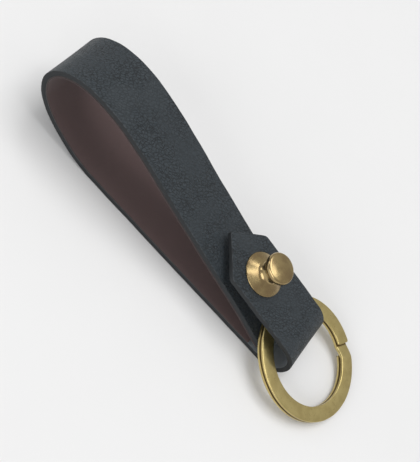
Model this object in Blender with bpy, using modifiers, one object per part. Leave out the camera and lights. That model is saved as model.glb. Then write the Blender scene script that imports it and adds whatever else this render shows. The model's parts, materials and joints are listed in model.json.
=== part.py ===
"""Leather wristlet keychain: a strap loop, its closing stud and a split ring.

The keychain lies on a table.  +X runs along the strap towards the ring, +Y across
the strap and +Z up.  The table is the plane z = 0, and the origin lies on it, in the
middle of the strap's width, under the stud.
"""

import math

import bmesh
import bpy
import numpy as np
from mathutils import Matrix, Vector

MM = 0.001
GAP = 0.3 * MM              # clearance between pieces that touch on the real object

# Strap: one strip of leather with a thinner lining on the inside of the loop
STRAP_WIDTH = 19.0 * MM
LEATHER = 1.5 * MM          # thickness of the black strap
LINING = 0.3 * MM           # thickness of the brown lining
GLUE = 0.2 * MM             # space left between strap and lining
STRAP_STEP = 1.5 * MM       # spacing of the rows of vertices along the strap
TIP_LENGTH = 8.7 * MM       # from the flap's corners to its point
LINING_FRONT = 11.5 * MM    # lining's front end on the lower run
LOWER_RUN_TOP = 4.0 * MM    # higher than any of the lower run, lower than the fold's top
LINING_END = 1.5 * MM       # lining's other end, short of the strap's end

# Grain side of the strap from the flap's point, round the ring and round the loop,
# to the end under the flap: x and z in millimetres
FLAP_LINE = [(-14.5, 17.0), (-5.0, 15.6), (5.9, 13.9), (15.5, 12.4)]
FOLD_LINE = [(19.8, 11.5), (22.6, 9.3), (23.6, 5.8), (22.7, 2.4), (20.2, 0.3)]
LOWER_LINE = [(16.0, 0.0), (4.0, 0.0), (-16.0, 0.0), (-36.0, 0.0), (-51.0, 0.0)]
LOOP_LINE = [(-58.0, 1.3), (-64.2, 3.5), (-70.1, 6.6), (-74.3, 10.8), (-75.8, 16.0), (-74.0, 20.6)]
UPPER_LINE = [(-69.6, 24.0), (-64.2, 25.6), (-57.5, 25.7), (-45.3, 23.4), (-36.1, 20.7), (-27.4, 17.8)]
END_LINE = [(-12.5, 13.2), (0.7, 9.4), (8.7, 6.8), (15.8, 4.35)]

# Stud: a flat knob with a rounded rim over a flared flange, screwed together through
# the flap and the strap's end
STUD_X = 0.0 * MM           # where the stud's axis meets the flap's grain side
FLANGE_R = 6.2 * MM
FLANGE_EDGE = 0.8 * MM
FLANGE_UNDERCUT = 0.2 * MM  # how far the flange's underside stops short of its rim
FLARE_ANGLE = math.radians(27.0)
FLARE_R = 3.4 * MM          # the flare is straight from here out to its rim
NECK_R = 2.3 * MM
NECK_TOP = 5.4 * MM         # height of the neck's top above the flap
KNOB_R = 4.4 * MM
KNOB_RIM = 1.1 * MM         # half the thickness of the knob's rounded rim
KNOB_DOME = 0.8 * MM        # rise of the knob's face over its rim
BARREL_R = 2.4 * MM
BORE_R = 1.7 * MM
THREAD_PITCH = 0.5 * MM
THREAD_TURNS = 5
BORE_SPACE = 1.0 * MM       # space in the bore beyond the screw's end
HOLE_TOP = 2.0 * MM         # the holes' cutter starts this far above the flap
SCREW_HEAD_R = 4.2 * MM
SCREW_HEAD_T = 1.0 * MM
SCREW_CHAMFER = 0.3 * MM
SLOT_WIDTH = 1.0 * MM
SLOT_DEPTH = 0.5 * MM

# Split ring: one flat wire wound twice round, with a step where the turns change places
RING_OUTER_R = 17.5 * MM
WIRE_WIDTH = 4.2 * MM
WIRE_T = 0.97 * MM
COIL_GAP = 0.2 * MM
RING_X = 26.4 * MM
RING_Y = -0.3 * MM
RING_TILT = math.radians(11.6)
STEP_ANGLE = math.radians(57.0)     # direction of the step, from the ring's front
STEP_SPAN = math.radians(13.0)      # how far round the step takes to rise
END_SPACE = math.radians(1.2)       # gap between each wire end and the step
TURN_PIECES = 56                    # straight pieces in each turn of the wire
STEP_PIECES = 8                     # straight pieces in the step
SWING_X = 11.0 * MM                 # where the ring's far side rests up against the fold
SWING_Z = 10.0 * MM


def clear_scene():
    for item in list(bpy.data.objects):
        bpy.data.objects.remove(item, do_unlink=True)


def new_collection(name):
    collection = bpy.data.collections.new(name)
    bpy.context.scene.collection.children.link(collection)
    return collection


def new_material(name, colour, roughness, metallic):
    material = bpy.data.materials.new(name)
    material.use_nodes = True
    shader = material.node_tree.nodes["Principled BSDF"]
    shader.inputs["Base Color"].default_value = (*colour, 1.0)
    shader.inputs["Roughness"].default_value = roughness
    shader.inputs["Metallic"].default_value = metallic
    return material


def add_object(name, bm, collection, material=None):
    """Put a finished bmesh in the scene as an object of its own."""
    mesh = bpy.data.meshes.new(name)
    bm.to_mesh(mesh)
    bm.free()
    item = bpy.data.objects.new(name, mesh)
    collection.objects.link(item)
    if material:
        mesh.materials.append(material)
    return item


def add_cutter(name, bm, cutters):
    item = add_object(name, bm, cutters)
    item.display_type = "WIRE"
    item.hide_render = True
    return item


def cut(item, cutter):
    boolean = item.modifiers.new("cut_" + cutter.name, "BOOLEAN")
    boolean.operation = "DIFFERENCE"
    boolean.object = cutter
    boolean.solver = "EXACT"


def smooth_line(points, step):
    """A smooth curve through the points, as rows of x and z an even step apart."""
    points = np.array(points) * MM
    knots = lengths_along(points)
    slopes = np.gradient(points, knots, axis=0)
    fine = np.linspace(0.0, knots[-1], 20 * len(points))
    line = np.array([curve_point(knots, points, slopes, value) for value in fine])
    line[:, 1] = np.maximum(line[:, 1], 0.0)        # the table holds the lower run flat
    lengths = lengths_along(line)
    even = np.linspace(0.0, lengths[-1], int(round(lengths[-1] / step)) + 1)
    return np.column_stack([np.interp(even, lengths, line[:, axis]) for axis in (0, 1)])


def lengths_along(points):
    return np.concatenate(([0.0], np.cumsum(np.linalg.norm(np.diff(points, axis=0), axis=1))))


def curve_point(knots, points, slopes, value):
    """A point of the cubic curve that passes through the points with the given slopes."""
    i = min(np.searchsorted(knots, value, side="right") - 1, len(knots) - 2)
    gap = knots[i + 1] - knots[i]
    t = (value - knots[i]) / gap
    return ((1 + 2 * t) * (1 - t) ** 2 * points[i] + t ** 2 * (3 - 2 * t) * points[i + 1]
            + gap * t * (1 - t) ** 2 * slopes[i] - gap * t ** 2 * (1 - t) * slopes[i + 1])


def inward(line):
    """Unit normals along the line, towards the inside of the loop."""
    along = np.gradient(line, axis=0)
    along /= np.linalg.norm(along, axis=1)[:, None]
    return np.column_stack((along[:, 1], -along[:, 0]))


def offset_line(line, distance):
    return line + inward(line) * distance


def ribbon(line):
    """A sheet of the strap's width along the line, with its normals facing out of the loop."""
    bm = bmesh.new()
    verts = [bm.verts.new((x, -STRAP_WIDTH / 2, z)) for x, z in line]
    edges = [bm.edges.new(pair) for pair in zip(verts, verts[1:])]
    swept = bmesh.ops.extrude_edge_only(bm, edges=edges)["geom"]
    moved = [item for item in swept if isinstance(item, bmesh.types.BMVert)]
    bmesh.ops.translate(bm, verts=moved, vec=(0.0, STRAP_WIDTH, 0.0))
    bmesh.ops.reverse_faces(bm, faces=bm.faces)
    return bm


def thicken(item, thickness):
    solidify = item.modifiers.new("thickness", "SOLIDIFY")
    solidify.thickness = thickness
    solidify.offset = -1.0
    solidify.use_even_offset = True


def trim_tip(bm, line):
    """Cut the flap's square end to a point."""
    flap_line = line[:int(TIP_LENGTH / STRAP_STEP) + 4]
    for side in (-1.0, 1.0):
        flap = [face for face in bm.faces if runs_along(face, flap_line)]
        geometry = set(flap)
        for face in flap:
            geometry.update(face.verts)
            geometry.update(face.edges)
        bmesh.ops.bisect_plane(
            bm, geom=list(geometry), plane_co=(line[0, 0], 0.0, 0.0),
            plane_no=(-STRAP_WIDTH / 2, side * TIP_LENGTH, 0.0), clear_outer=True)


def runs_along(face, line):
    centre = face.calc_center_median()
    return np.linalg.norm(line - (centre.x, centre.z), axis=1).min() < STRAP_STEP


def turned(name, profile, collection, material, segments=32):
    """A turned solid: the profile, in radius and height, swept round +Z."""
    bm = bmesh.new()
    verts = [bm.verts.new((radius, 0.0, height)) for radius, height in profile]
    for pair in zip(verts, verts[1:]):
        bm.edges.new(pair)
    item = add_object(name, bm, collection, material)
    screw = item.modifiers.new("turn", "SCREW")
    screw.steps = segments
    screw.render_steps = segments
    screw.use_merge_vertices = True
    screw.merge_threshold = 0.00001
    return item


def arc(centre, radii, start, end, count):
    """Points on an ellipse, from one angle to another, in degrees."""
    angles = np.radians(np.linspace(start, end, count))
    return [(centre[0] + radii[0] * math.cos(a), centre[1] + radii[1] * math.sin(a)) for a in angles]


def rod_cutter(name, radius, bottom, top, place, cutters):
    bm = bmesh.new()
    bmesh.ops.create_cone(bm, cap_ends=True, segments=32, radius1=radius, radius2=radius, depth=top - bottom)
    bmesh.ops.translate(bm, verts=bm.verts, vec=(0.0, 0.0, (top + bottom) / 2))
    item = add_cutter(name, bm, cutters)
    item.matrix_world = place
    return item


def stud_place(line):
    """The stud's frame: origin on the flap's grain side, +Z out along the stud's axis."""
    after = int(np.argmax(line[:, 0] > STUD_X))
    before = line[after - 1]
    along = line[after] - before
    seat = before + along * (STUD_X - before[0]) / along[0]
    tilt = math.atan2(-along[1], along[0])
    return Matrix.Translation((seat[0], 0.0, seat[1])) @ Matrix.Rotation(tilt, 4, "Y")


def strap_depth(line, place):
    """Depth below the stud's seat at which its axis meets the grain side of the upper run."""
    local = [place.inverted() @ Vector((x, 0.0, z)) for x, z in line[2 * len(line) // 3:]]
    for before, after in zip(local, local[1:]):
        if before.x <= 0.0 <= after.x:
            return -(before.z + (after.z - before.z) * before.x / (before.x - after.x))
    raise ValueError("the stud's axis misses the strap's end")


def build_strap(line, collection):
    material = new_material("black_leather", (0.045, 0.051, 0.06), 0.55, 0.0)
    bm = ribbon(line)
    trim_tip(bm, line)
    strap = add_object("outer_strap", bm, collection, material)
    thicken(strap, LEATHER)
    return strap


def build_lining(line, collection):
    material = new_material("brown_lining", (0.07, 0.035, 0.03), 0.7, 0.0)
    inner = offset_line(line, LEATHER + GLUE)
    front = int(np.argmax((inner[:, 1] < LOWER_RUN_TOP) & (inner[:, 0] < LINING_FRONT)))
    end = len(inner) - int(round(LINING_END / STRAP_STEP))
    lining = add_object("lining", ribbon(inner[front:end]), collection, material)
    thicken(lining, LINING)
    return lining


def knob_profile():
    """Outline of the knob, from the middle of its face to the top of the neck."""
    rim_x = KNOB_R - KNOB_RIM
    rim_z = NECK_TOP + KNOB_RIM
    face_z = rim_z + KNOB_RIM * math.sin(math.radians(75.0))
    dome = [(rim_x * share, face_z + KNOB_DOME * (1.0 - share ** 2)) for share in (0.0, 0.4, 0.75)]
    rim = arc((rim_x, rim_z), (KNOB_RIM, KNOB_RIM), 75.0, -90.0, 9)
    return dome + rim + [(NECK_R, NECK_TOP)]


def flange_profile():
    """Outline down the neck, round a hollow curve and straight out to the flange's rim."""
    edge_x = FLANGE_R - FLANGE_EDGE / 2
    slope = math.tan(FLARE_ANGLE)
    top = np.array((NECK_R, NECK_TOP))
    low = np.array((FLARE_R, FLANGE_EDGE + (edge_x - FLARE_R) * slope))
    bend = np.array((NECK_R, low[1] + (FLARE_R - NECK_R) * slope))
    flare = [tuple((1 - t) ** 2 * top + 2 * t * (1 - t) * bend + t ** 2 * low)
             for t in np.linspace(0.0, 1.0, 7)]
    rim = arc((edge_x, FLANGE_EDGE / 2), (FLANGE_EDGE / 2, FLANGE_EDGE / 2), 63.0, -20.0, 4)
    return flare[1:] + rim + [(FLANGE_R - FLANGE_UNDERCUT, GAP)]


def build_stud(line, place, collection):
    brass = new_material("stud_brass", (0.55, 0.42, 0.2), 0.3, 1.0)
    foot = strap_depth(line, place) + LEATHER + GLUE + LINING + 2 * GAP
    bore_top = THREAD_PITCH * THREAD_TURNS + BORE_SPACE - foot
    barrel = [(BARREL_R, GAP), (BARREL_R, -foot), (BORE_R, -foot), (BORE_R, bore_top), (0.0, bore_top)]
    head = turned("stud_head", knob_profile() + flange_profile() + barrel, collection, brass, segments=36)
    head.matrix_world = place
    return head, foot


def build_screw(foot, place, collection, cutters):
    brass = new_material("screw_brass", (0.5, 0.39, 0.19), 0.35, 1.0)
    shank_r = BORE_R - GAP
    top = -foot + THREAD_PITCH * THREAD_TURNS
    seat = -foot - GAP
    face = seat - SCREW_HEAD_T
    profile = [(0.0, top), (shank_r - SCREW_CHAMFER, top), (shank_r, top - SCREW_CHAMFER), (shank_r, seat)]
    profile += [(SCREW_HEAD_R, seat), (SCREW_HEAD_R, face + SCREW_CHAMFER)]
    profile += [(SCREW_HEAD_R - SCREW_CHAMFER, face), (0.0, face)]
    screw = turned("stud_screw", profile, collection, brass)
    screw.matrix_world = place
    bm = bmesh.new()
    bmesh.ops.create_cube(bm, size=1.0)
    bmesh.ops.scale(bm, verts=bm.verts, vec=(SLOT_WIDTH, 3 * SCREW_HEAD_R, 2 * SLOT_DEPTH))
    slot = add_cutter("screw_slot", bm, cutters)
    slot.matrix_world = place @ Matrix.Translation((0.0, 0.0, face))
    cut(screw, slot)


def wire_height(angle):
    """Height of the wire's middle as it goes round twice, stepping down half way along."""
    share = (angle - (2 * math.pi - STEP_SPAN / 2)) / STEP_SPAN
    share = min(max(share, 0.0), 1.0)
    return (WIRE_T + COIL_GAP) * (0.5 - share * share * (3 - 2 * share))


def wire_angles():
    """How far round the wire each of its rows is, with more rows in the step."""
    start = STEP_SPAN / 2 + END_SPACE
    step = 2 * math.pi - STEP_SPAN / 2
    return np.concatenate((
        np.linspace(start, step, TURN_PIECES, endpoint=False),
        np.linspace(step, step + STEP_SPAN, STEP_PIECES, endpoint=False),
        np.linspace(step + STEP_SPAN, 4 * math.pi - start, TURN_PIECES + 1)))


def build_ring(collection):
    brass = new_material("ring_brass", (0.5, 0.4, 0.2), 0.35, 1.0)
    half = WIRE_WIDTH / 2
    middle = RING_OUTER_R - half
    corners = [(-half, -WIRE_T / 2), (half, -WIRE_T / 2), (half, WIRE_T / 2), (-half, WIRE_T / 2)]
    rows = []
    bm = bmesh.new()
    for angle in wire_angles():
        height = wire_height(angle)
        direction = angle + STEP_ANGLE
        rows.append([bm.verts.new(((middle + across) * math.cos(direction),
                                   (middle + across) * math.sin(direction), height + up))
                     for across, up in corners])
    for row, after in zip(rows, rows[1:]):
        for i in range(4):
            j = (i + 1) % 4
            bm.faces.new((row[i], row[j], after[j], after[i]))
    bm.faces.new(rows[0][::-1])
    bm.faces.new(rows[-1])
    bmesh.ops.recalc_face_normals(bm, faces=bm.faces)
    ring = add_object("split_ring", bm, collection, brass)
    swing = bpy.data.objects.new("ring_swing_axis", None)
    collection.objects.link(swing)
    swing.location = (SWING_X, 0.0, SWING_Z)
    ring.parent = swing
    ring.matrix_basis = Matrix.Translation(-swing.location) @ ring_place()


def ring_place():
    """The ring's frame: centre of the ring, +Z along its axis."""
    half_height = WIRE_T + COIL_GAP / 2
    lift = RING_OUTER_R * math.sin(RING_TILT) + half_height * math.cos(RING_TILT)
    return Matrix.Translation((RING_X, RING_Y, lift)) @ Matrix.Rotation(RING_TILT, 4, "Y")


def main():
    clear_scene()
    collection = new_collection("wristlet_keychain")
    cutters = new_collection("cutters")
    line = smooth_line(FLAP_LINE + FOLD_LINE + LOWER_LINE + LOOP_LINE + UPPER_LINE + END_LINE, STRAP_STEP)
    place = stud_place(line)
    strap = build_strap(line, collection)
    lining = build_lining(line, collection)
    head, foot = build_stud(line, place, collection)
    build_screw(foot, place, collection, cutters)
    hole = rod_cutter("stud_hole", BARREL_R + GAP, -foot, HOLE_TOP, place, cutters)
    cut(strap, hole)
    cut(lining, hole)
    build_ring(collection)


main()
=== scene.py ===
"""Looks of the leather wristlet keychain: strap, lining, stud, screw and split ring.

Lengths in the shape code are millimetres; they become metres where a mesh is made.
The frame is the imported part's own: +X along the strap to the ring, +Y across, +Z up.
"""

import json
import math

import bmesh
import bpy
import numpy as np
from mathutils import Matrix, Vector


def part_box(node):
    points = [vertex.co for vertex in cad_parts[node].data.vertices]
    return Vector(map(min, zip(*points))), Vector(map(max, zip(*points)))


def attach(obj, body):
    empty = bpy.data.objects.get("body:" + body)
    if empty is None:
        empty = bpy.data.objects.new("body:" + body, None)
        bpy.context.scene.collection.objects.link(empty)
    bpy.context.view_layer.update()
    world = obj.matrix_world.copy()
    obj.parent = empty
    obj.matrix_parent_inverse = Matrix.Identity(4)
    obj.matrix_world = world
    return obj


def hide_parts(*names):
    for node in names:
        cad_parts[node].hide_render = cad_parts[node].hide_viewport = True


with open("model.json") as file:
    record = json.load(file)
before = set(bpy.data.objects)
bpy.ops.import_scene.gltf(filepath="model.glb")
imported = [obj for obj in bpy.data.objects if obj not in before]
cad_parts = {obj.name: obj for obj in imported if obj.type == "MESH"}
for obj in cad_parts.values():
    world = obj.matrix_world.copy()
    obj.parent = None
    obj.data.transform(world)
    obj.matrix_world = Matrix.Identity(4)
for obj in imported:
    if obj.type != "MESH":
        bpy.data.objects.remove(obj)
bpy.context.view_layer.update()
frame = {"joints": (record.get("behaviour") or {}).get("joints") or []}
MM = 0.001
PER_METRE = 1000.0          # turns object coordinates into millimetres for the materials

# Strap, as the part has it: x and z of the grain side, from the flap's point round the
# ring and the loop to the end under the flap
STRAP_WIDTH = 19.0
LEATHER = 1.5
FLAP_LINE = [(-14.5, 17.0), (-5.0, 15.6), (5.9, 13.9), (15.5, 12.4)]
FOLD_LINE = [(19.8, 11.5), (22.6, 9.3), (23.6, 5.8), (22.7, 2.4), (20.2, 0.3)]
LOWER_LINE = [(16.0, 0.0), (4.0, 0.0), (-16.0, 0.0), (-36.0, 0.0), (-51.0, 0.0)]
LOOP_LINE = [(-58.0, 1.3), (-64.2, 3.5), (-70.1, 6.6), (-74.3, 10.8), (-75.8, 16.0), (-74.0, 20.6)]
UPPER_LINE = [(-69.6, 24.0), (-64.2, 25.6), (-57.5, 25.7), (-45.3, 23.4), (-36.1, 20.7), (-27.4, 17.8)]
END_LINE = [(-12.5, 13.2), (0.7, 9.4), (8.7, 6.8), (15.8, 4.35)]
TIP_LENGTH = 8.7            # from the flap's corners to its point
TIP_SOFTNESS = 0.55         # how far the point and the corners are rounded
TIP_SKEW = 1.1              # how far the point is cut askew
SKEW_LENGTH = 20.0          # the cut is askew over this length
ARRIS = 0.22                # rounding of the leather's edges
EDGE_BULGE = 0.05           # burnishing swells the cut edge a little
TRACK_STEP = 0.25           # spacing of the centre line's points
ROW_STEP = 0.5
MIDDLE_COLUMNS = 23         # strips across the leather, between its fine edge columns
FINE_STEPS = [0.0, 0.03, 0.08, 0.15, 0.24, 0.36, 0.55, 0.8]
FIRST_ROW = 0.003           # the first row is just inside the flap's point
WALL_SHARES = [0.25, 0.5, 0.75]

# Lining
LINING_TOP = 1.5
LINING_BOTTOM = 1.98
LINING_INSET = 0.06
LINING_ARRIS = 0.12
LINING_FRONT_X = 11.5
LOWER_RUN_TOP = 1.0         # the grain side is lower than this only along the lower run
LINING_END = 1.5            # the lining stops this short of the strap's end
LINING_SOFTNESS = 0.3

# Stud and its screw
LATHE_SEGMENTS = 96
FLANGE_R = 6.2
FLANGE_EDGE = 0.5
FLARE_ANGLE = math.radians(27.0)
FLARE_R = 3.4               # the flare is straight from here out to its rim
FLANGE_UNDERCUT = 0.4       # the flange's foot is this much smaller than its rim
NECK_R = 2.3
NECK_TOP = 5.4
KNOB_R = 4.4
KNOB_RIM = 1.0
KNOB_RIM_WIDTH = 0.6
KNOB_DOME = 0.42
BARREL_R = 2.4
BARREL_ARRIS = 0.12
BORE_R = 1.7
BORE_SPACE = 1.0            # room in the bore above the screw's tip
HOLE_R = 2.6
HOLE_TOP = 3.0              # the hole's cutter starts this far above the flap
HOLE_FOOT = 0.1             # and ends this far below the barrel
THREAD_PITCH = 0.5
THREAD_TURNS = 5
THREAD_DEPTH = 0.2
THREAD_RUNOUT = 0.2         # plain length left next to the head
SHANK_CLEARANCE = 0.25
SCREW_TIP = 0.35            # chamfer of the screw's tip
SCREW_HEAD_R = 4.2
SCREW_HEAD_T = 1.0
SCREW_CHAMFER = (0.5, 0.3)  # inward and along, on the head's outer edge
SCREW_ARRIS = 0.15
SLOT_WIDTH = 1.0
SLOT_DEPTH = 0.5
SCREW_GAP = 0.3

# Split ring
RING_OUTER_R = 17.5
WIRE_WIDTH = 4.2
WIRE_T = 0.98
COIL_GAP = 0.14
WIRE_EDGE = 0.27
END_CORNER = 0.6            # the wire's ends have rounded corners
END_ROUND = 0.14            # and a small rounding of their edges
END_STEPS = [0.0, 0.02, 0.05, 0.09, 0.14, 0.2, 0.28, 0.4, 0.5, END_CORNER]
HALF_HEIGHT = 1.07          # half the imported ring's height: a turn of wire and half the gap
RING_X = 26.4
RING_Y = -0.3
RING_TILT = math.radians(11.6)
STEP_ANGLE = math.radians(57.0)
STEP_SPAN = math.radians(13.0)
END_SPACE = math.radians(1.2)
LOWER_REACH = math.radians(2.4)     # the lower end runs this far under the step
WIRE_STEPS = 220            # pieces in each turn of the wire


# ---------------------------------------------------------------- meshes


def add_mesh(name, verts, faces, materials):
    """An object from vertices in millimetres."""
    mesh = bpy.data.meshes.new(name)
    mesh.from_pydata([tuple(float(value) * MM for value in vert) for vert in verts], [], faces)
    for material in materials:
        mesh.materials.append(material)
    mesh.shade_smooth()
    item = bpy.data.objects.new(name, mesh)
    bpy.context.scene.collection.objects.link(item)
    return item


def face_out(item):
    """Turn the faces of a closed mesh outwards."""
    bm = bmesh.new()
    bm.from_mesh(item.data)
    bmesh.ops.recalc_face_normals(bm, faces=bm.faces)
    bm.to_mesh(item.data)
    bm.free()


def apply_modifiers(item):
    bpy.context.view_layer.update()
    evaluated = item.evaluated_get(bpy.context.evaluated_depsgraph_get())
    mesh = bpy.data.meshes.new_from_object(evaluated)
    item.modifiers.clear()
    item.data = mesh


def cut(item, cutter):
    boolean = item.modifiers.new("cut", "BOOLEAN")
    boolean.operation = "DIFFERENCE"
    boolean.object = cutter
    boolean.solver = "EXACT"
    apply_modifiers(item)
    bpy.data.objects.remove(cutter, do_unlink=True)


# ---------------------------------------------------------------- strap


def lengths_along(points):
    return np.concatenate(([0.0], np.cumsum(np.linalg.norm(np.diff(points, axis=0), axis=1))))


def curve_point(knots, points, slopes, value):
    """A point of the cubic curve that passes through the points with the given slopes."""
    i = min(np.searchsorted(knots, value, side="right") - 1, len(knots) - 2)
    gap = knots[i + 1] - knots[i]
    t = (value - knots[i]) / gap
    return ((1 + 2 * t) * (1 - t) ** 2 * points[i] + t ** 2 * (3 - 2 * t) * points[i + 1]
            + gap * t * (1 - t) ** 2 * slopes[i] - gap * t ** 2 * (1 - t) * slopes[i + 1])


def smooth_line(points, step):
    """A smooth curve through the points, as rows of x and z an even step apart."""
    points = np.array(points)
    knots = lengths_along(points)
    slopes = np.gradient(points, knots, axis=0)
    fine = np.linspace(0.0, knots[-1], 40 * len(points))
    line = np.array([curve_point(knots, points, slopes, value) for value in fine])
    line[:, 1] = np.maximum(line[:, 1], 0.0)
    lengths = lengths_along(line)
    even = np.linspace(0.0, lengths[-1], int(round(lengths[-1] / step)) + 1)
    return np.column_stack([np.interp(even, lengths, line[:, axis]) for axis in (0, 1)])


class Track:
    """The strap's centre line: places and inward directions by length along it."""

    def __init__(self, points, step):
        self.line = smooth_line(points, step)
        self.lengths = lengths_along(self.line)
        self.total = self.lengths[-1]
        along = np.gradient(self.line, axis=0)
        along /= np.linalg.norm(along, axis=1)[:, None]
        self.inward = np.column_stack((along[:, 1], -along[:, 0]))

    def place(self, s, depth):
        """World x and z at length s and that depth below the grain side."""
        x, z = (np.interp(s, self.lengths, self.line[:, axis]) for axis in (0, 1))
        nx, nz = (np.interp(s, self.lengths, self.inward[:, axis]) for axis in (0, 1))
        return x + nx * depth, z + nz * depth


def soft_min(a, b, softness):
    share = np.clip(0.5 + 0.5 * (b - a) / softness, 0.0, 1.0)
    return b + (a - b) * share - softness * share * (1.0 - share)


def inside_sides(y, half):
    return soft_min(half - y, half + y, 0.1)


def inside_tip(s, y, half):
    """Distance inside the two straight cuts that make the flap's point."""
    scale = math.hypot(half, TIP_LENGTH)
    left = (s * half - y * TIP_LENGTH) / scale
    right = (s * half + y * TIP_LENGTH) / scale
    return soft_min(left, right, TIP_SOFTNESS)


def half_width(inside, s, half):
    """Half the width of the outline at s, where its distance inside falls to zero."""
    low, high = np.zeros_like(s), np.full_like(s, half)
    for _ in range(40):
        middle = (low + high) / 2
        within = inside(s, middle) > 0.0
        low = np.where(within, middle, low)
        high = np.where(within, high, middle)
    return low


def rows_between(start, end):
    """Lengths along the strap, closer together at both ends where the edges round over."""
    inner = np.arange(start + FINE_STEPS[-1], end - FINE_STEPS[-1], ROW_STEP)
    head = [start + FIRST_ROW + step for step in FINE_STEPS[:-1]]
    tail = [end - step for step in FINE_STEPS[-2::-1]]
    return np.concatenate((head, inner, tail))


def column_positions(widths, stretch):
    """Places across each row: closer together at the edges."""
    insets = np.array(FINE_STEPS)
    room = np.minimum(1.0, widths / (1.3 * insets[-1] * stretch))
    edge = widths[:, None] - insets[None, :] * (stretch * room)[:, None]
    shares = np.linspace(-1.0, 1.0, MIDDLE_COLUMNS + 1)[1:-1]
    middle = edge[:, -1:] * shares[None, :]
    return np.concatenate((-edge, middle, edge[:, ::-1]), axis=1)


def round_over(inside, radius):
    reach = np.clip(1.0 - inside / radius, 0.0, 1.0)
    return radius * (1.0 - np.sqrt(1.0 - reach ** 2))


def sheet(name, track, inside, start, end, half, top, bottom, radius, bulge, materials, shape):
    """A closed slab of leather bent along the track.

    inside(s, y) is the distance inside the outline, top and bottom are depths below the
    grain side, and shape(s, y) is the surface's gentle unevenness.
    """
    s = rows_between(start, end)
    widths = half_width(inside, s, half)
    slope = np.gradient(widths, s)
    y = column_positions(widths, np.sqrt(1.0 + np.minimum(np.abs(slope), 1.1) ** 2))
    rows, columns = y.shape
    s_grid = np.repeat(s[:, None], columns, axis=1)
    within = np.maximum(inside(s_grid, y), 0.0)
    drop = round_over(within, radius)
    upper = np.stack((s_grid, y, top + drop, within), axis=-1)
    lower = np.stack((s_grid, y, bottom - drop, within), axis=-1)
    walls = []
    for column, side in ((columns - 1, 1.0), (0, -1.0)):
        wall = []
        for share in WALL_SHARES:
            depth = top + drop[:, column] + share * (bottom - top - 2 * drop[:, column])
            swell = bulge * (1.0 - (2 * share - 1.0) ** 2)
            wall.append(np.stack((s, y[:, column] + side * swell, depth, np.zeros(rows)), axis=-1))
        walls.append(np.stack(wall, axis=1))
    ring = np.concatenate((upper, walls[0], lower[:, ::-1], walls[1][:, ::-1]), axis=1)
    around = ring.shape[1]
    flat = ring.reshape(-1, 4)
    uneven = shape(flat[:, 0], flat[:, 1])
    x, z = track.place(flat[:, 0] + uneven[2], flat[:, 2] + uneven[0])
    verts = np.column_stack((x, flat[:, 1] + uneven[1], np.maximum(z, 0.0)))
    faces = []
    for row in range(rows - 1):
        base = row * around
        for i in range(around):
            j = (i + 1) % around
            faces.append((base + i, base + j, base + around + j, base + around + i))
    for base in (0, (rows - 1) * around):
        faces.extend(cap_faces(base, columns, around))
    item = add_mesh(name, verts, faces, materials)
    face_out(item)
    share = (flat[:, 2] - top) / (bottom - top)
    add_attribute(item, "sheet", "FLOAT_VECTOR", flat[:, :3])
    add_attribute(item, "inset", "FLOAT", flat[:, 3])
    add_attribute(item, "depth", "FLOAT", share)
    return item


def cap_faces(base, columns, around):
    """Faces that close the sheet across one end row."""
    wall = len(WALL_SHARES)
    first_lower = columns + wall
    faces = []
    for i in range(columns - 1):
        low = first_lower + columns - 1 - i
        faces.append((base + i, base + i + 1, base + low - 1, base + low))
    faces.append([base + columns - 1 + i for i in range(wall + 2)])
    faces.append([base + (first_lower + columns - 1 + i) % around for i in range(wall + 2)])
    return faces


def add_attribute(item, name, kind, values):
    attribute = item.data.attributes.new(name, kind, "POINT")
    field = "vector" if kind == "FLOAT_VECTOR" else "value"
    attribute.data.foreach_set(field, np.asarray(values, dtype=np.float32).ravel())


def wander(s, seed, wavelength):
    """A slow, smooth wander between about -1 and 1 along the strap."""
    generator = np.random.default_rng(seed)
    total = np.zeros_like(s)
    for octave in (1.0, 0.47, 0.21):
        phase = generator.uniform(0.0, 2 * math.pi)
        total += octave * np.sin(2 * math.pi * s / (wavelength * octave) + phase)
    return total / 1.68         # the sum of the octaves


def strap_shape(s, y):
    """Unevenness of real leather: a slight cup, wandering edges and a point cut a little askew."""
    across = y / (STRAP_WIDTH / 2)
    cup = 0.10 * wander(s, 3, 60.0) * across ** 2 + 0.05 * wander(s, 5, 25.0) * across
    sideways = 0.05 * wander(s, 7, 40.0) + 0.03 * across * wander(s, 9, 15.0)
    askew = TIP_SKEW * across * np.clip(1.0 - s / SKEW_LENGTH, 0.0, 1.0) ** 2
    return cup, sideways, -askew


def build_strap(track, materials):
    half = STRAP_WIDTH / 2 - EDGE_BULGE

    def inside(s, y):
        square = soft_min(inside_sides(y, half), track.total - s, TIP_SOFTNESS)
        return soft_min(square, inside_tip(s, y, half), TIP_SOFTNESS)

    starts = np.linspace(0.0, 1.0, 2001)
    start = starts[np.argmax(inside(starts, np.zeros_like(starts)) > 0.0)]
    return sheet("strap_leather", track, inside, start, track.total, half, 0.0, LEATHER,
                 ARRIS, EDGE_BULGE, materials, strap_shape)


def build_lining(track, materials):
    half = STRAP_WIDTH / 2 - LINING_INSET
    on_lower_run = track.line[:, 1] < LOWER_RUN_TOP
    behind_front = track.line[:, 0] < LINING_FRONT_X
    start = float(track.lengths[np.argmax(on_lower_run & behind_front)])
    end = track.total - LINING_END

    def inside(s, y):
        ends = np.minimum(s - start, end - s)
        return soft_min(inside_sides(y, half), ends, LINING_SOFTNESS)

    return sheet("strap_lining", track, inside, start, end, half, LINING_TOP, LINING_BOTTOM,
                 LINING_ARRIS, 0.0, materials, strap_shape)


# ---------------------------------------------------------------- stud


def arc(centre, radii, start, end, count):
    """Points on an ellipse, from one angle to another, in degrees."""
    angles = np.radians(np.linspace(start, end, count))
    return [(centre[0] + radii[0] * math.cos(a), centre[1] + radii[1] * math.sin(a)) for a in angles]


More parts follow.
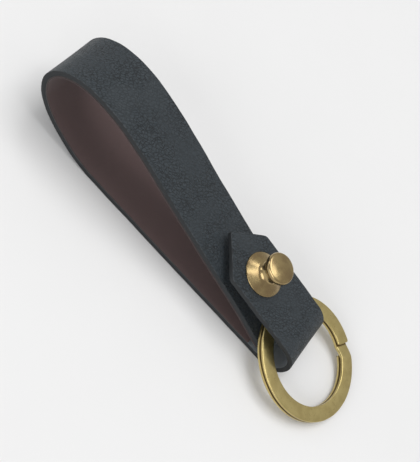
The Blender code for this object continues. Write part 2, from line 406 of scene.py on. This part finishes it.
def flared(edge_x, count):
    """The stud's flare: down the neck, round a hollow curve and straight out to the rim."""
    slope = math.tan(FLARE_ANGLE)
    low = (FLARE_R, FLANGE_EDGE + (edge_x - FLARE_R) * slope)
    bend = (NECK_R, low[1] + (FLARE_R - NECK_R) * slope)
    points = []
    for t in np.linspace(0.0, 1.0, count):
        points.append(tuple((1 - t) ** 2 * end + 2 * t * (1 - t) * middle + t ** 2 * start
                            for end, middle, start in zip((NECK_R, NECK_TOP), bend, low)))
    return points


def corner(point, before, after, radius, count):
    """A small rounded corner at a point between two neighbours of a profile."""
    point, before, after = (np.array(item, dtype=float) for item in (point, before, after))
    to_before = (before - point) / np.linalg.norm(before - point)
    to_after = (after - point) / np.linalg.norm(after - point)
    first, last = point + to_before * radius, point + to_after * radius
    shares = np.linspace(0.0, 1.0, count)
    return [tuple((1 - t) ** 2 * first + 2 * t * (1 - t) * point + t ** 2 * last) for t in shares]


def rounded(profile, radius, count):
    """The profile with its inner corners rounded."""
    result = [profile[0]]
    for before, point, after in zip(profile, profile[1:], profile[2:]):
        result.extend(corner(point, before, after, radius, count))
    return result + [profile[-1]]


def lathe(name, profile, materials):
    """A turned solid from a profile whose two ends lie on the axis."""
    segments = LATHE_SEGMENTS
    verts = [(0.0, 0.0, profile[0][1])]
    for radius, height in profile[1:-1]:
        for i in range(segments):
            angle = 2 * math.pi * i / segments
            verts.append((radius * math.cos(angle), radius * math.sin(angle), height))
    verts.append((0.0, 0.0, profile[-1][1]))
    last = len(verts) - 1
    faces = []
    rings = len(profile) - 2
    for i in range(segments):
        j = (i + 1) % segments
        faces.append((0, 1 + i, 1 + j))
        for ring in range(rings - 1):
            a, b = 1 + ring * segments, 1 + (ring + 1) * segments
            faces.append((a + i, b + i, b + j, a + j))
        a = 1 + (rings - 1) * segments
        faces.append((a + i, last, a + j))
    item = add_mesh(name, verts, faces, materials)
    face_out(item)
    item.data.set_sharp_from_angle(angle=math.radians(50.0))
    return item


def stud_place():
    """The stud's frame, from the joint it turns on."""
    joint = next(joint for joint in frame["joints"] if joint["name"] == "stud_turn")
    turn = Vector((0.0, 0.0, 1.0)).rotation_difference(Vector(joint["axis"]).normalized())
    return Matrix.Translation(joint["pos_m"]) @ turn.to_matrix().to_4x4()


def barrel_foot(place):
    """Length of the stud's barrel below the flap's grain side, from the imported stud."""
    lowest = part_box("stud_head")[0].z / MM
    axis = place.to_3x3() @ Vector((0.0, 0.0, 1.0))
    lean = math.sqrt(1.0 - axis.z ** 2)
    return (place.translation.z / MM - lowest - BARREL_R * lean) / axis.z


def build_stud(foot, place, materials):
    rim_x, rim_z = KNOB_R - KNOB_RIM_WIDTH, NECK_TOP + KNOB_RIM
    face_z = rim_z + KNOB_RIM * math.sin(math.radians(75.0))
    dome = [(rim_x * share, face_z + KNOB_DOME * (1.0 - share ** 2))
            for share in np.linspace(0.0, 0.93, 9)]
    rim = arc((rim_x, rim_z), (KNOB_RIM_WIDTH, KNOB_RIM), 72.0, -90.0, 20)
    edge_x = FLANGE_R - FLANGE_EDGE / 2
    flare = flared(edge_x, 20)
    lip = arc((edge_x, FLANGE_EDGE / 2), (FLANGE_EDGE / 2, FLANGE_EDGE / 2), 62.0, -80.0, 10)
    bore_top = THREAD_PITCH * THREAD_TURNS + BORE_SPACE - foot
    barrel = rounded([(FLANGE_R - FLANGE_UNDERCUT, 0.0), (BARREL_R, 0.0), (BARREL_R, -foot),
                      (BORE_R, -foot), (BORE_R, bore_top), (0.0, bore_top)], BARREL_ARRIS, 3)
    head = lathe("stud_knob", dome + rim + flare + lip + barrel, materials)
    head.matrix_world = place
    return head


def build_screw(foot, place, materials):
    shank_r = BORE_R - SHANK_CLEARANCE
    top = -foot + THREAD_PITCH * THREAD_TURNS
    seat = -foot - SCREW_GAP
    base = seat - SCREW_HEAD_T
    thread = []
    crest = top - THREAD_PITCH
    while crest - THREAD_PITCH > seat + THREAD_RUNOUT:
        thread.extend([(shank_r, crest), (shank_r - THREAD_DEPTH, crest - THREAD_PITCH / 2)])
        crest -= THREAD_PITCH
    profile = [(0.0, top), (shank_r - SCREW_TIP, top)] + thread + [(shank_r, seat)]
    inward, along = SCREW_CHAMFER
    head = rounded([(shank_r, seat), (SCREW_HEAD_R, seat), (SCREW_HEAD_R, base + along),
                    (SCREW_HEAD_R - inward, base), (0.0, base)], SCREW_ARRIS, 4)
    screw = lathe("stud_screw_head", profile + head[1:], materials)
    slot = add_mesh("slot_cutter", *box_shape(SLOT_WIDTH, 3 * SCREW_HEAD_R, 2 * SLOT_DEPTH, base), [])
    cut(screw, slot)
    screw.data.set_sharp_from_angle(angle=math.radians(40.0))
    screw.matrix_world = place
    return screw


def box_shape(width, length, height, middle):
    verts = [(x * width / 2, y * length / 2, middle + z * height / 2)
             for x in (-1, 1) for y in (-1, 1) for z in (-1, 1)]
    faces = [(0, 1, 3, 2), (4, 6, 7, 5), (0, 4, 5, 1), (2, 3, 7, 6), (0, 2, 6, 4), (1, 5, 7, 3)]
    return verts, faces


def hole_cutter(place, foot):
    segments = 64
    turns = np.linspace(0, 2 * math.pi, segments + 1)[:-1]
    ring = [(HOLE_R * math.cos(a), HOLE_R * math.sin(a)) for a in turns]
    verts = [(x, y, HOLE_TOP) for x, y in ring] + [(x, y, -foot - HOLE_FOOT) for x, y in ring]
    faces = [list(range(segments)), list(range(2 * segments - 1, segments - 1, -1))]
    for i in range(segments):
        j = (i + 1) % segments
        faces.append((i, i + segments, j + segments, j))
    cutter = add_mesh("hole_cutter", verts, faces, [])
    face_out(cutter)
    cutter.matrix_world = place
    return cutter


# ---------------------------------------------------------------- split ring


def step_share(angle):
    """How far along its step the wire is: 0 in the upper coil and 1 in the lower."""
    return min(max((angle - (2 * math.pi - STEP_SPAN / 2)) / STEP_SPAN, 0.0), 1.0)


def wire_height(angle):
    """Height of the wire's middle as it goes round twice, stepping down half way along."""
    rise = WIRE_T + COIL_GAP
    share = step_share(angle)
    blunted = 0.6 * share + 0.4 * share * share * (3 - 2 * share)
    return rise * (0.5 - blunted)


def groove_shade_at(angle, up):
    """Painted shade in the groove where the coils face each other, from 0 to 1."""
    height = up / WIRE_T
    if step_share(angle) == 0.0:
        return min(max((0.12 - height) / 0.3, 0.0), 1.0)
    if step_share(angle) == 1.0:
        return min(max((height - 0.2) / 0.2, 0.0), 1.0)
    return 0.0


def wire_section(inset, corner_cut):
    """The flat wire's outline, with rounded edges, shrunk by the inset.

    Its narrow sides have two more points each, for the painted groove shade to follow.
    """
    half_w, half_t = WIRE_WIDTH / 2 - inset - corner_cut, WIRE_T / 2 - inset
    radius = max(WIRE_EDGE - inset * 0.3, 0.05)
    points = []
    for sign_w, sign_t, start in ((1, 1, 0.0), (-1, 1, 90.0), (-1, -1, 180.0), (1, -1, 270.0)):
        centre = (sign_w * (half_w - radius), sign_t * (half_t - radius))
        points.extend(arc(centre, (radius, radius), start, start + 90.0, 5))
        if sign_w != sign_t:
            points.extend((points[-1][0], sign_t * (half_t - radius) * share) for share in (0.33, -0.33))
    return points


def build_ring(materials):
    middle = RING_OUTER_R - WIRE_WIDTH / 2
    start = STEP_SPAN / 2 + END_SPACE
    end = 4 * math.pi - STEP_SPAN / 2 + LOWER_REACH
    near = [step / middle for step in END_STEPS]
    angles = [start + step for step in near[:-1]]
    angles += list(np.linspace(start + near[-1], end - near[-1], 2 * WIRE_STEPS + 1))
    angles += [end - step for step in near[-2::-1]]
    verts, places, groove_shade = [], [], []
    for angle in angles:
        from_end = min(angle - start, end - angle) * middle
        inset = float(round_over(from_end, END_ROUND)) * 0.8
        corner_cut = float(round_over(from_end, END_CORNER))
        direction = angle + STEP_ANGLE
        for across, up in wire_section(inset, corner_cut):
            radius = middle + across
            height = wire_height(angle) + up
            verts.append((radius * math.cos(direction), radius * math.sin(direction), height))
            places.append((angle * middle, across, up))
            groove_shade.append(groove_shade_at(angle, up))
    around = len(wire_section(0.0, 0.0))
    faces = []
    for row in range(len(angles) - 1):
        base = row * around
        for i in range(around):
            j = (i + 1) % around
            faces.append((base + i, base + around + i, base + around + j, base + j))
    faces.append(list(range(around)))
    faces.append(list(range((len(angles) - 1) * around, len(angles) * around))[::-1])
    ring = add_mesh("key_ring", verts, faces, materials)
    face_out(ring)
    add_attribute(ring, "wire", "FLOAT_VECTOR", places)
    add_attribute(ring, "groove_shade", "FLOAT", groove_shade)
    lift = RING_OUTER_R * math.sin(RING_TILT) + HALF_HEIGHT * math.cos(RING_TILT)
    centre = Matrix.Translation((RING_X * MM, RING_Y * MM, lift * MM))
    ring.matrix_world = centre @ Matrix.Rotation(RING_TILT, 4, "Y")
    return ring


# ---------------------------------------------------------------- materials


def colour(red, green, blue):
    return (red, green, blue, 1.0)


# grain colours: the creases' dark is partly the grain's own and partly painted shade, and the cells'
# tops are lighter as painted light
GRAIN_CELL_LIT = colour(0.0370, 0.0500, 0.0600)
GRAIN_CREASE_SHADE = colour(0.0040, 0.0065, 0.0085)
GRAIN_TURN = math.radians(-38.0)
GRAIN_STRETCH = (0.75, 1.25, 1.0)
EDGE_DARK = colour(0.007, 0.0090, 0.0105)
EDGE_LIGHT = colour(0.018, 0.0210, 0.0235)
# painted highlight colour for the arrises
ARRIS_HIGHLIGHT = colour(0.070, 0.0800, 0.0880)
# flesh colours: the leather's grey flesh side, raised with painted light for the shaded fold
FLESH_PAINTED_FILL_DARK = colour(0.150, 0.1680, 0.1850)
FLESH_PAINTED_FILL_LIGHT = colour(0.250, 0.2750, 0.2980)
SUEDE_DARK = colour(0.068, 0.0430, 0.0420)
SUEDE_LIGHT = colour(0.124, 0.0840, 0.0820)
SUEDE_RED = colour(0.118, 0.0700, 0.0680)
RAW_DARK = colour(0.030, 0.0200, 0.0195)
RAW_LIGHT = colour(0.100, 0.0780, 0.0750)
# painted shade for the groove between the ring's coils
GROOVE_SHADE_COLOUR = colour(0.13, 0.085, 0.03)
TURNED_ANISOTROPY = 0.4
STUD_BRASS = (colour(0.43, 0.325, 0.158), colour(0.33, 0.235, 0.118))
SCREW_BRASS = (colour(0.58, 0.44, 0.20), colour(0.50, 0.36, 0.15))
RING_BRASS = (colour(0.62, 0.505, 0.22), colour(0.54, 0.43, 0.18))


def add(tree, kind, values=None, **settings):
    """A shader node; each value is a constant or the output it is linked from."""
    item = tree.nodes.new(kind)
    for key, value in settings.items():
        setattr(item, key, value)
    for key, value in (values or {}).items():
        if isinstance(value, bpy.types.NodeSocket):
            tree.links.new(value, item.inputs[key])
        else:
            item.inputs[key].default_value = value
    return item


def maths(tree, operation, a, b=0.0, clamp=False):
    return add(tree, "ShaderNodeMath", {0: a, 1: b}, operation=operation, use_clamp=clamp).outputs[0]


def remap(tree, value, low, high, to_low=0.0, to_high=1.0):
    values = {"Value": value, "From Min": low, "From Max": high, "To Min": to_low, "To Max": to_high}
    return add(tree, "ShaderNodeMapRange", values, interpolation_type="SMOOTHSTEP").outputs["Result"]


def mix(tree, share, a, b):
    return add(tree, "ShaderNodeMix", {0: share, 6: a, 7: b}, data_type="RGBA").outputs[2]


def mix_value(tree, share, a, b):
    return add(tree, "ShaderNodeMix", {0: share, 2: a, 3: b}, data_type="FLOAT").outputs[0]


def noise(tree, place, scale, detail, roughness):
    values = {"Vector": place, "Scale": scale, "Detail": detail, "Roughness": roughness}
    return add(tree, "ShaderNodeTexNoise", values).outputs["Fac"]


def stretch(tree, place, scale):
    return add(tree, "ShaderNodeVectorMath", {0: place, 1: scale}, operation="MULTIPLY").outputs[0]


def attribute(tree, name):
    return add(tree, "ShaderNodeAttribute", attribute_name=name)


def bump(tree, height, distance, strength, normal=None):
    values = {"Height": height, "Distance": distance, "Strength": strength}
    if normal:
        values["Normal"] = normal
    return add(tree, "ShaderNodeBump", values).outputs["Normal"]


def start_material(name):
    material = bpy.data.materials.new(name)
    material.use_nodes = True
    return material, material.node_tree, material.node_tree.nodes["Principled BSDF"]


def connect(tree, shader, values):
    for key, value in values.items():
        if isinstance(value, bpy.types.NodeSocket):
            tree.links.new(value, shader.inputs[key])
        else:
            shader.inputs[key].default_value = value


def leather_material():
    """Black pebbled grain with painted shade in its creases and painted light on its cells, a burnished
    cut edge with a painted highlight along the arrises, and a grey flesh side made paler with painted
    light, in one material.
    """
    material, tree, shader = start_material("black_leather")
    place = attribute(tree, "sheet").outputs["Vector"]
    inset = attribute(tree, "inset").outputs["Fac"]
    depth = attribute(tree, "depth").outputs["Fac"]

    # pebbled grain: cells about a millimetre across, drawn out askew, divided by fine
    # creases that are deeper in some places than in others, with pores between
    warp = add(tree, "ShaderNodeTexNoise", {"Vector": place, "Scale": 0.8, "Detail": 1.0})
    warp = warp.outputs["Color"]
    warped = add(tree, "ShaderNodeVectorMath", {0: place, 1: warp}, operation="ADD").outputs[0]
    turned = add(tree, "ShaderNodeVectorRotate", {"Vector": warped, "Angle": GRAIN_TURN},
                 rotation_type="Z_AXIS").outputs[0]
    drawn = stretch(tree, turned, GRAIN_STRETCH)
    large = cell_relief(tree, drawn, 1.1, 0.17, 0.60)
    small = cell_relief(tree, drawn, 2.5, 0.20, 0.54)
    pores = maths(tree, "SUBTRACT", noise(tree, place, 5.0, 2.0, 0.6), 0.5)
    large, small = maths(tree, "MULTIPLY", large, 0.75), maths(tree, "MULTIPLY", small, 0.35)
    relief = maths(tree, "ADD", large, small)
    relief = maths(tree, "ADD", relief, maths(tree, "MULTIPLY", pores, 0.5))
    depth_of_grain = remap(tree, noise(tree, place, 0.11, 2.0, 0.5), 0.38, 0.60, 0.40, 0.85)
    relief = maths(tree, "MULTIPLY", relief, depth_of_grain)
    shade = maths(tree, "ADD", relief, 0.5, clamp=True)
    # painted shade darkens the creases, partly the grain's own dark, and painted light brightens the
    # cells' tops
    grain = mix(tree, shade, GRAIN_CREASE_SHADE, GRAIN_CELL_LIT)
    grain_rough = mix_value(tree, shade, 0.62, 0.40)

    # cut edge: burnished, with faint fibre lines along it
    fibre = noise(tree, stretch(tree, place, (0.8, 4.0, 7.0)), 1.0, 3.0, 0.6)
    edge = mix(tree, fibre, EDGE_DARK, EDGE_LIGHT)
    edge_rough = mix_value(tree, fibre, 0.60, 0.80)

    # flesh side: its own grey, made paler still with painted light so the shaded fold inside reads
    # lighter
    nap = noise(tree, stretch(tree, place, (1.0, 1.6, 1.0)), 5.0, 5.0, 0.7)
    flesh = mix(tree, nap, FLESH_PAINTED_FILL_DARK, FLESH_PAINTED_FILL_LIGHT)

    # painted highlight along the arrises, where the burnish and the grain meet, broken into patches that
    # come and go
    on_edge = remap(tree, inset, 0.08, 0.24, 1.0, 0.0)
    beyond_wall, before_face = remap(tree, inset, 0.02, 0.10), remap(tree, inset, 0.16, 0.30, 1.0, 0.0)
    near_arris = maths(tree, "MULTIPLY", beyond_wall, before_face)
    arris_highlight = remap(tree, noise(tree, stretch(tree, place, (1.0, 0.2, 0.2)), 0.6, 3.0, 0.6), 0.42, 0.62)
    arris_highlight = maths(tree, "MULTIPLY", near_arris, maths(tree, "MULTIPLY", arris_highlight, 0.6))
    on_back = remap(tree, depth, 0.93, 0.985)
    base = mix(tree, on_edge, mix(tree, on_back, grain, flesh), edge)
    base = mix(tree, arris_highlight, base, ARRIS_HIGHLIGHT)
    rough = mix_value(tree, on_edge, mix_value(tree, on_back, grain_rough, 0.85), edge_rough)
    height = mix_value(tree, on_back, relief, nap)
    height = mix_value(tree, on_edge, height, maths(tree, "MULTIPLY", fibre, 0.25))
    fine = bump(tree, height, 0.00018, 1.0)
    wave = bump(tree, noise(tree, place, 0.35, 1.0, 0.5), 0.0002, 0.25, fine)
    connect(tree, shader, {"Base Color": base, "Roughness": rough, "Normal": wave,
                           "Specular IOR Level": 0.42, "Sheen Weight": 0.02, "Sheen Roughness": 0.5})
    return material


def cell_relief(tree, place, scale, width, mean):
    """Height of rounded cells divided by creases, less its mean, so that it averages to 0."""
    cells = add(tree, "ShaderNodeTexVoronoi", {"Vector": place, "Scale": scale, "Randomness": 1.0},
                feature="DISTANCE_TO_EDGE").outputs["Distance"]
    return maths(tree, "SUBTRACT", remap(tree, cells, 0.0, width), mean)


def lining_material():
    """Dark reddish-brown suede with a slightly paler raw edge."""
    material, tree, shader = start_material("brown_leather")
    place = attribute(tree, "sheet").outputs["Vector"]
    inset = attribute(tree, "inset").outputs["Fac"]
    nap = noise(tree, stretch(tree, place, (1.0, 1.5, 1.0)), 4.0, 6.0, 0.7)
    tone = noise(tree, place, 0.2, 4.0, 0.6)
    base = mix(tree, nap, SUEDE_DARK, SUEDE_LIGHT)
    base = mix(tree, maths(tree, "MULTIPLY", tone, 0.6), base, SUEDE_RED)
    fibre = noise(tree, stretch(tree, place, (0.5, 5.0, 9.0)), 1.0, 4.0, 0.6)
    raw = mix(tree, remap(tree, fibre, 0.52, 0.75), RAW_DARK, RAW_LIGHT)
    on_edge = remap(tree, inset, 0.02, 0.12, 1.0, 0.0)
    base = mix(tree, on_edge, base, raw)
    normal = bump(tree, nap, 0.00014, 0.7)
    rough = mix_value(tree, nap, 0.72, 0.9)
    connect(tree, shader, {"Base Color": base, "Roughness": rough, "Normal": normal,
                           "Specular IOR Level": 0.25, "Sheen Weight": 0.15, "Sheen Roughness": 0.6})
    return material


def turned_place(tree):
    """Where a point is on a turned piece: round its axis, out from it and along it, in mm."""
    parts = add(tree, "ShaderNodeSeparateXYZ", {0: add(tree, "ShaderNodeTexCoord").outputs["Object"]})
    x, y, z = (maths(tree, "MULTIPLY", parts.outputs[axis], PER_METRE) for axis in "XYZ")
    square_x, square_y = (maths(tree, "MULTIPLY", value, value) for value in (x, y))
    radius = maths(tree, "SQRT", maths(tree, "ADD", square_x, square_y))
    around = maths(tree, "ARCTAN2", y, x)
    return add(tree, "ShaderNodeCombineXYZ", {0: around, 1: radius, 2: z}).outputs[0]


def brass_material(name, bright, dull, rough_low, rough_high, wire=False):
    """Lacquered brass with fine wear: hairlines, faint stains and uneven polish."""
    material, tree, shader = start_material(name)
    if wire:
        place = attribute(tree, "wire").outputs["Vector"]
        lines = noise(tree, stretch(tree, place, (0.25, 14.0, 14.0)), 1.0, 3.0, 0.6)
    else:
        coordinates = add(tree, "ShaderNodeTexCoord").outputs["Object"]
        place = stretch(tree, coordinates, (PER_METRE, PER_METRE, PER_METRE))
        lines = noise(tree, stretch(tree, turned_place(tree), (0.4, 6.0, 6.0)), 1.0, 2.0, 0.5)
        shader.inputs["Anisotropic"].default_value = TURNED_ANISOTROPY
        tangent = add(tree, "ShaderNodeTangent", direction_type="RADIAL", axis="Z").outputs[0]
        tree.links.new(tangent, shader.inputs["Tangent"])
    stain = noise(tree, place, 0.35, 4.0, 0.6)
    cloud = noise(tree, place, 1.3, 3.0, 0.6)
    base = mix(tree, remap(tree, stain, 0.35, 0.68), bright, dull)
    if wire:
        # painted shade where the coils face each other
        base = mix(tree, attribute(tree, "groove_shade").outputs["Fac"], base, GROOVE_SHADE_COLOUR)
    rough = mix_value(tree, cloud, rough_low, rough_high)
    rough = maths(tree, "ADD", rough, maths(tree, "MULTIPLY", lines, 0.08))
    fine = bump(tree, lines, 0.00001, 0.35)
    wave = bump(tree, noise(tree, place, 0.4, 1.0, 0.5), 0.00015, 0.12, fine)
    connect(tree, shader, {"Base Color": base, "Roughness": rough, "Metallic": 1.0, "Normal": wave})
    return material


def floor_material():
    material, tree, shader = start_material("pale_table")
    tone = noise(tree, add(tree, "ShaderNodeTexCoord").outputs["Object"], 30.0, 3.0, 0.5)
    base = mix(tree, tone, colour(0.80, 0.80, 0.80), colour(0.82, 0.82, 0.82))
    connect(tree, shader, {"Base Color": base, "Roughness": 0.9, "Specular IOR Level": 0.1})
    return material


# ---------------------------------------------------------------- stage


FLOOR_SIZE = 1500.0
FLOOR_DROP = 0.05           # the floor is just below the strap, which lies at z = 0
WORLD_LIGHT = 0.48
WORLD_SEEN = 0.89           # the background behind the floor's edge is as pale as the floor
LIGHTS = [                  # name, place, size and watts; all of them point at the part
    ("key", (0.06, 0.24, 1.45), (1.05, 1.05), 9.9),
    ("fill", (-0.2, -1.3, 0.55), (1.4, 0.8), 9.0),
    ("high_side", (-0.42, 0.52, 1.2), (0.25, 0.45), 1.3),
    ("left_side", (-1.25, -0.2, 0.36), (0.35, 0.5), 1.6),
]
CAMERA_PLACE = (-0.04317, -0.16729, 0.21205)
CAMERA_AZIMUTH = math.radians(-8.607)
CAMERA_ELEVATION = math.radians(49.948)
CAMERA_ROLL = math.radians(-53.884)
CAMERA_LENS = 84.8


def build_floor():
    verts = [(x * FLOOR_SIZE, y * FLOOR_SIZE, -FLOOR_DROP)
             for x, y in ((-1, -1), (1, -1), (1, 1), (-1, 1))]
    floor = add_mesh("table", verts, [(0, 1, 2, 3)], [floor_material()])


def area_light(name, place, size, power):
    data = bpy.data.lights.new(name, "AREA")
    data.shape = "RECTANGLE"
    data.size, data.size_y = size
    data.energy = power
    lamp = bpy.data.objects.new(name, data)
    bpy.context.scene.collection.objects.link(lamp)
    lamp.location = place
    lamp.rotation_euler = (-Vector(place)).to_track_quat("-Z", "Y").to_euler()


def build_lights():
    world = bpy.data.worlds.new("studio")
    bpy.context.scene.world = world
    world.use_nodes = True
    background = world.node_tree.nodes["Background"]
    background.inputs["Color"].default_value = (1.0, 1.0, 1.0, 1.0)
    seen = add(world.node_tree, "ShaderNodeLightPath").outputs["Is Camera Ray"]
    strength = mix_value(world.node_tree, seen, WORLD_LIGHT, WORLD_SEEN)
    world.node_tree.links.new(strength, background.inputs["Strength"])
    for name, place, size, power in LIGHTS:
        area_light(name, place, size, power)


def build_camera():
    """A camera above the near side, leaning over to its left."""
    data = bpy.data.cameras.new("camera")
    data.sensor_fit = "HORIZONTAL"
    data.sensor_width = 36.0
    data.lens = CAMERA_LENS
    data.clip_start = 0.01
    camera = bpy.data.objects.new("camera", data)
    bpy.context.scene.collection.objects.link(camera)
    turn = Matrix.Rotation(CAMERA_AZIMUTH, 4, "Z")
    turn = turn @ Matrix.Rotation(math.pi / 2 - CAMERA_ELEVATION, 4, "X")
    turn = turn @ Matrix.Rotation(-CAMERA_ROLL, 4, "Z")
    camera.matrix_world = Matrix.Translation(CAMERA_PLACE) @ turn
    bpy.context.scene.camera = camera


# ---------------------------------------------------------------- assembly


def show(item, body, node):
    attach(item, body)
    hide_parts(node)


def main():
    line = FLAP_LINE + FOLD_LINE + LOWER_LINE + LOOP_LINE + UPPER_LINE + END_LINE
    track = Track(line, TRACK_STEP)
    place = stud_place()
    foot = barrel_foot(place)
    strap = build_strap(track, [leather_material()])
    lining = build_lining(track, [lining_material()])
    cut(strap, hole_cutter(place, foot))
    cut(lining, hole_cutter(place, foot))
    stud_brass = brass_material("stud_brass", *STUD_BRASS, 0.14, 0.21)
    screw_brass = brass_material("screw_brass", *SCREW_BRASS, 0.25, 0.40)
    ring_brass = brass_material("ring_brass", *RING_BRASS, 0.20, 0.32, True)
    head = build_stud(foot, place, [stud_brass])
    screw = build_screw(foot, place, [screw_brass])
    ring = build_ring([ring_brass])
    show(strap, "strap", "outer_strap")
    show(lining, "strap", "lining")
    show(head, "stud_head", "stud_head")
    show(screw, "stud_screw", "stud_screw")
    show(ring, "ring", "split_ring")
    build_floor()
    build_lights()
    build_camera()
    bpy.context.scene.view_settings.view_transform = "Standard"


main()
